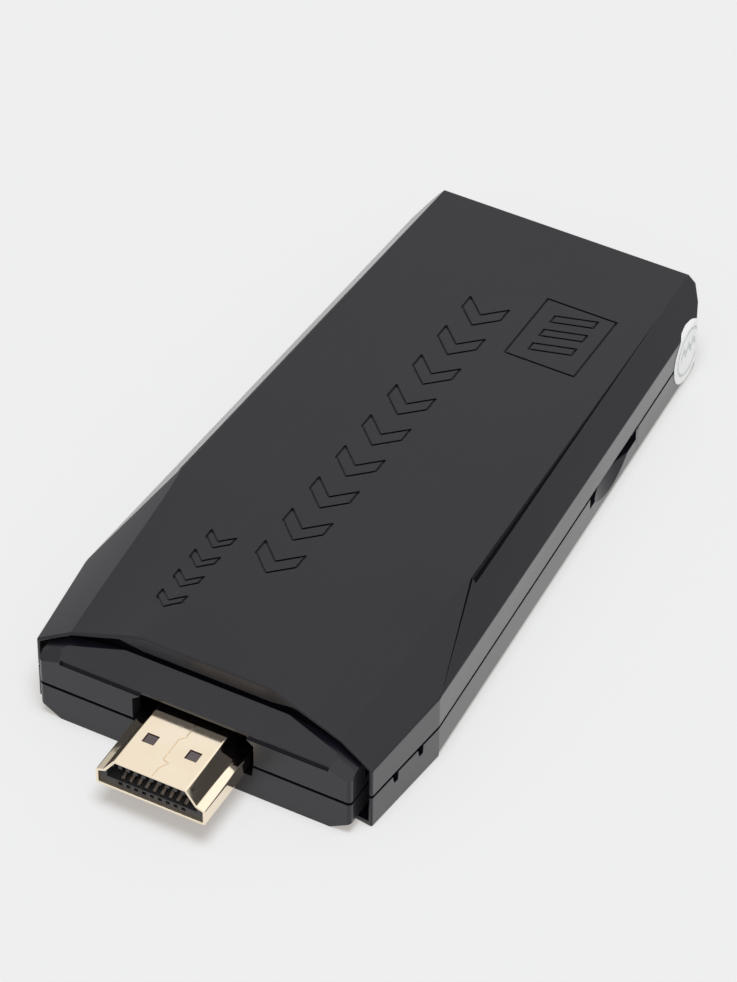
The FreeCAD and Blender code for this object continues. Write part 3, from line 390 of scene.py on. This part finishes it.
MATERIALS = {
    "case_black": moulded_case(),
    "plug_gold": plated_gold(),
    "insulator_black": moulded_resin("insulator_black", (0.022, 0.021, 0.022), 0.42),
    "contact_gold": contact_metal(),
    "board_green": solder_mask(),
    "screw_steel": worked_metal("screw_steel", (0.46, 0.46, 0.48), 0.32),
    "chip_black": moulded_resin("chip_black", (0.016, 0.016, 0.017), 0.55),
    "pad_grey": silicone_pad(),
    "sink_aluminium": worked_metal("sink_aluminium", (0.78, 0.79, 0.81), 0.34),
    "can_steel": worked_metal("can_steel", (0.70, 0.70, 0.71), 0.27),
    "ceramic_white": fired_ceramic("ceramic_white", (0.74, 0.74, 0.70)),
    "ferrite_grey": moulded_resin("ferrite_grey", (0.055, 0.055, 0.058), 0.6),
    "ceramic_tan": fired_ceramic("ceramic_tan", (0.40, 0.28, 0.17)),
    "slider_black": moulded_resin("slider_black", (0.020, 0.020, 0.020), 0.45),
    "spring_steel": worked_metal("spring_steel", (0.62, 0.62, 0.64), 0.25),
    "card_black": moulded_resin("card_black", (0.014, 0.014, 0.016), 0.38),
    "seal_paper": seal_paper(),
}


def dress_nodes():
    """Gives every CAD node the material of its slot."""
    for row in frame["record"]["subparts"]:
        mesh = frame["nodes"][row["node"]].data
        mesh.materials.clear()
        mesh.materials.append(MATERIALS[row["material_slot"]])


# ------------------------------------------------------------------ added pieces
def add_piece(name, points, faces, slot, body):
    """Mesh object with its material slot's finish, riding on a body."""
    mesh = bpy.data.meshes.new(name)
    mesh.from_pydata(points, [], faces)
    mesh.materials.append(MATERIALS[slot])
    piece = bpy.data.objects.new(name, mesh)
    bpy.context.scene.collection.objects.link(piece)
    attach(piece, body)
    return piece


def folded(distance, start, radius, turn):
    """Sheet that runs straight to a start, bends by this turn in degrees and runs straight on.

    Gives how far a point has gone along the first direction, and how far aside towards the bend."""
    angle = math.radians(turn)
    first = start - radius * math.tan(angle / 2)
    past = distance - first
    if past <= 0:
        return distance, 0.0
    bent = min(past / radius, angle)
    rest = past - radius * bent
    ahead = first + radius * math.sin(bent) + rest * math.cos(bent)
    return ahead, radius * (1 - math.cos(bent)) + rest * math.sin(bent)


def add_seal():
    """Round paper seal over the split line, bent round the case's corner and onto the facet."""
    low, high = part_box("seal_label")
    centre_y = (low[1] + high[1]) / 2
    out = Vector((WALL_BEARING.y, -WALL_BEARING.x, 0.0))
    to_corner = (CORNER_START.y - centre_y) / WALL_BEARING.y
    origin = CORNER_START - WALL_BEARING * to_corner + out * SEAL_LIFT

    def place(u, v):
        up, inward = folded(SEAL_HEIGHT + v * SEAL_RADIUS, WALL_TOP, FACET_RADIUS, FACET_TURN)
        along, aside = folded(u * SEAL_RADIUS, to_corner, CORNER_RADIUS, CORNER_TURN)
        return origin + WALL_BEARING * along - out * (aside + inward) + Vector((0.0, 0.0, up))

    discs = [(0.0, 0.0)]
    for ring in range(1, SEAL_RINGS + 1):
        for spoke in range(SEAL_SPOKES):
            angle = 2 * math.pi * spoke / SEAL_SPOKES
            wobble = 1.0
            for share, waves in SEAL_WAVES:
                wobble += share * math.sin(waves * angle)
            reach = ring / SEAL_RINGS * wobble
            discs.append((reach * math.cos(angle), reach * math.sin(angle)))
    faces = []
    for spoke in range(SEAL_SPOKES):
        beside = (spoke + 1) % SEAL_SPOKES
        faces.append((0, 1 + spoke, 1 + beside))
        for ring in range(SEAL_RINGS - 1):
            inner, outer = 1 + ring * SEAL_SPOKES, 1 + (ring + 1) * SEAL_SPOKES
            faces.append((inner + spoke, outer + spoke, outer + beside, inner + beside))
    points = [place(u, v) for u, v in discs]
    seal = add_piece("seal_paper_disc", points, faces, "seal_paper", "body")
    prints = seal.data.uv_layers.new(name="print")
    for loop in seal.data.loops:
        prints.data[loop.index].uv = discs[loop.vertex_index]
    for face in seal.data.polygons:
        face.use_smooth = True
    solid = seal.modifiers.new("thickness", "SOLIDIFY")
    solid.thickness = SEAL_THICKNESS
    solid.offset = 1.0
    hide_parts("seal_label")


def block(centre, size, chamfer):
    """Points and faces of a block whose top rim is chamfered."""
    points, faces = [], []
    half = size / 2
    for inset, z in ((0.0, -half.z), (0.0, half.z - chamfer), (chamfer, half.z)):
        for sx, sy in ((-1, -1), (1, -1), (1, 1), (-1, 1)):
            points.append(centre + Vector((sx * (half.x - inset), sy * (half.y - inset), z)))
    faces.append((3, 2, 1, 0))
    for ring in (0, 4):
        for side in range(4):
            beside = (side + 1) % 4
            faces.append((ring + side, ring + beside, ring + 4 + beside, ring + 4 + side))
    faces.append((8, 9, 10, 11))
    return points, faces


def add_blocks(name, centres, size, chamfer, slot, body):
    """One piece made of equal blocks."""
    points, faces = [], []
    for centre in centres:
        more, sides = block(centre, size, chamfer)
        faces += [tuple(i + len(points) for i in side) for side in sides]
        points += more
    return add_piece(name, points, faces, slot, body)


def add_card_pads():
    """Contact pads on the upper face of the memory card, at its inner end."""
    low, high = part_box("memory_card")
    x = low[0] + PAD_INSET + PAD_SIZE.x / 2
    middle = (low[1] + high[1]) / 2
    rows = [middle + PAD_PITCH * (i - (PAD_COUNT - 1) / 2) for i in range(PAD_COUNT)]
    centres = [Vector((x, y, high[2] + PAD_RISE)) for y in rows]
    add_blocks("card_pads", centres, PAD_SIZE, PAD_CHAMFER, "contact_gold", "card")


def add_plug_dimples():
    """Resin blocks that show in the two latch holes of the plug."""
    low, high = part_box("hdmi_shell")
    y = low[1] + DIMPLE_BACK
    centres = [Vector((x, y, high[2] - DIMPLE_DEPTH)) for x in (-DIMPLE_OFFSET, DIMPLE_OFFSET)]
    dimples = add_blocks("plug_dimples", centres, DIMPLE_SIZE, DIMPLE_CHAMFER, "insulator_black", "body")
    dimples.data.materials[0] = moulded_resin("dimple_mauve", DIMPLE_TONE, DIMPLE_ROUGHNESS)


# ------------------------------------------------------------------ camera, floor and light
def direction(azimuth, elevation):
    """Unit vector from the object towards a point at this bearing; azimuth 0 is the plug side."""
    a, e = math.radians(azimuth), math.radians(elevation)
    return Vector((math.sin(a) * math.cos(e), -math.cos(a) * math.cos(e), math.sin(e)))


def add_camera():
    back = direction(CAMERA_AZIMUTH, CAMERA_ELEVATION)
    right = Vector((0, 0, 1)).cross(back).normalized()
    up = back.cross(right)
    turn = Matrix.Rotation(math.radians(CAMERA_ROLL), 3, back)
    right, up = turn @ right, turn @ up
    camera = bpy.data.objects.new("camera", bpy.data.cameras.new("camera"))
    camera.data.lens = CAMERA_LENS
    camera.data.clip_start = CAMERA_CLIP_START
    camera.data.clip_end = 2 * FLOOR_SIZE
    place = CAMERA_AIM + back * CAMERA_DISTANCE
    axes = Matrix((right, up, back)).transposed()
    camera.matrix_world = Matrix.Translation(place) @ axes.to_4x4()
    bpy.context.scene.collection.objects.link(camera)
    bpy.context.scene.camera = camera


def add_floor():
    """Pale floor that gives off part of its own light."""
    half = FLOOR_SIZE / 2
    corners = [(-half, -half, 0), (half, -half, 0), (half, half, 0), (-half, half, 0)]
    mesh = bpy.data.meshes.new("floor")
    mesh.from_pydata(corners, [], [(0, 1, 2, 3)])
    floor = bpy.data.objects.new("floor", mesh)
    matte = Finish("floor_pale", FLOOR_TONE, FLOOR_ROUGHNESS)
    matte.set("Specular IOR Level", 0.0)
    matte.set("Emission Color", FLOOR_GLOW_TONE)
    matte.set("Emission Strength", FLOOR_GLOW)
    mesh.materials.append(matte.material)
    bpy.context.scene.collection.objects.link(floor)
    return floor


def add_sky():
    """Pale sky, dimmer near the horizon and at the left, brighter at the right and the plug side."""
    world = bpy.data.worlds.new("studio")
    world.use_nodes = True
    tree = world.node_tree
    sky = tree.nodes["Background"]
    sky.inputs["Color"].default_value = SKY_TONE
    split = tree.nodes.new("ShaderNodeSeparateXYZ")
    tree.links.new(tree.nodes.new("ShaderNodeTexCoord").outputs["Generated"], split.inputs[0])
    strength = fade(tree, split.outputs["Z"], 0.0, SKY_FULL, *SKY_STRENGTH)
    for axis, start, end, level in SKY_SIDES:
        product = tree.nodes.new("ShaderNodeMath")
        product.operation = "MULTIPLY"
        tree.links.new(strength, product.inputs[0])
        side = fade(tree, split.outputs[axis], start, end, 1.0, level)
        tree.links.new(side, product.inputs[1])
        strength = product.outputs[0]
    tree.links.new(strength, sky.inputs["Strength"])
    bpy.context.scene.world = world


def add_key(floor):
    """Overhead light linked to the floor alone, for the tight shadow under the object."""
    key = bpy.data.objects.new("key", bpy.data.lights.new("key", "SUN"))
    key.data.color = KEY_TONE
    key.data.energy = KEY_STRENGTH
    key.data.angle = math.radians(KEY_SPREAD)
    key.rotation_euler = direction(KEY_AZIMUTH, KEY_ELEVATION).to_track_quat("Z", "Y").to_euler()
    bpy.context.scene.collection.objects.link(key)
    key.light_linking.receiver_collection = bpy.data.collections.new("lit_by_key")
    key.light_linking.receiver_collection.objects.link(floor)


dress_nodes()
add_seal()
add_card_pads()
add_plug_dimples()
add_camera()
add_sky()
add_key(add_floor())
bpy.context.scene.view_settings.view_transform = "Standard"
bpy.context.scene.view_settings.look = "None"
